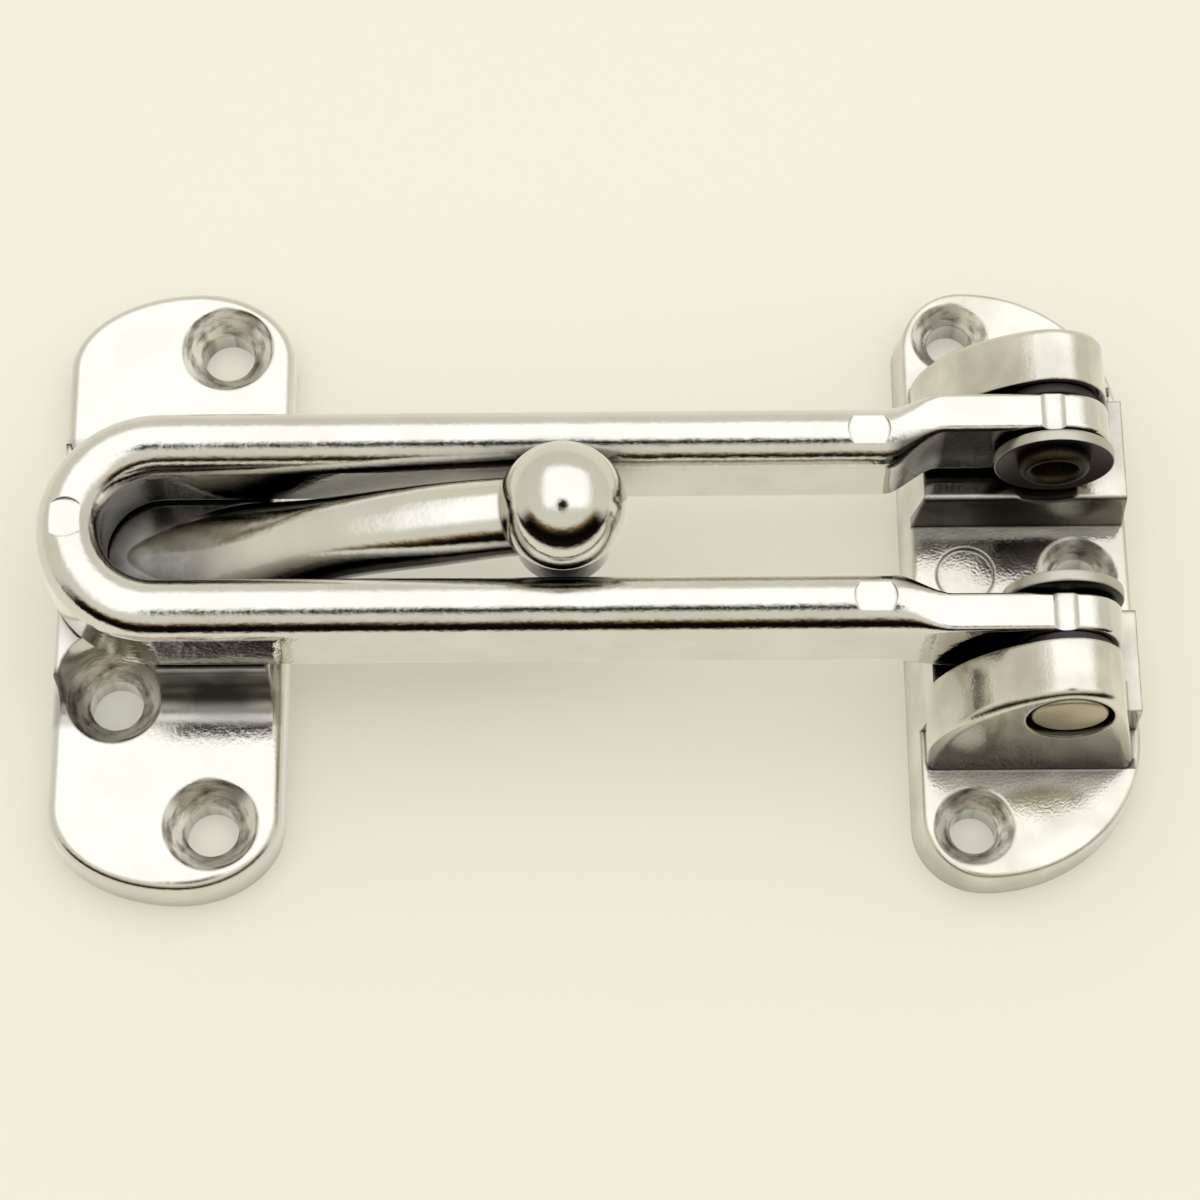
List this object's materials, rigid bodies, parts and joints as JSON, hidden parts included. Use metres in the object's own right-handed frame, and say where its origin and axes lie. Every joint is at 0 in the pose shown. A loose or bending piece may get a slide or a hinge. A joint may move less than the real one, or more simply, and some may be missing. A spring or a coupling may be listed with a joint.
{
  "type": "swing bar door guard",
  "caption": "Chromed door guard: a U-shaped bar hinged on a frame plate, and a door plate with a curved arm whose ball rides in the slot of the bar.",
  "frame": {"origin": "on the mounting surface, under the middle of the hinge rivets' common axis", "axes": "+X from the keeper towards the hinge, along the bar at rest; +Y along the hinge axis; +Z out of the mounting surface"},
  "size_m": [0.1068, 0.0648, 0.0281],
  "materials": {
    "bright_chrome": "bright chrome plate on polished zinc casting",
    "satin_chrome": "chrome plate on tumbled zinc casting, duller",
    "rivet_steel": "plain steel, matt head",
    "washer_steel": "dark oiled spring steel",
    "black_nylon": "black nylon"
  },
  "bodies": {
    "hinge_base": {"hinge_base": "satin_chrome", "upper_rivet": "rivet_steel", "lower_rivet": "rivet_steel", "upper_spring_washer": "washer_steel", "lower_spring_washer": "washer_steel", "upper_friction_washer": "black_nylon", "lower_friction_washer": "black_nylon"},
    "swing_bar": {"swing_bar": "bright_chrome"},
    "keeper": {"keeper": "bright_chrome"}
  },
  "joints": [
    {"name": "bar_swing", "type": "hinge", "parent": "hinge_base", "child": "swing_bar", "pos_m": [0, 0, 0.0157], "axis": [0, 1, 0], "range_deg": [0, 180]},
    {"name": "keeper_slide", "type": "slide", "parent": "swing_bar", "child": "keeper", "axis": [1, 0, 0], "range_m": [-0.001, 0.032]}
  ]
}
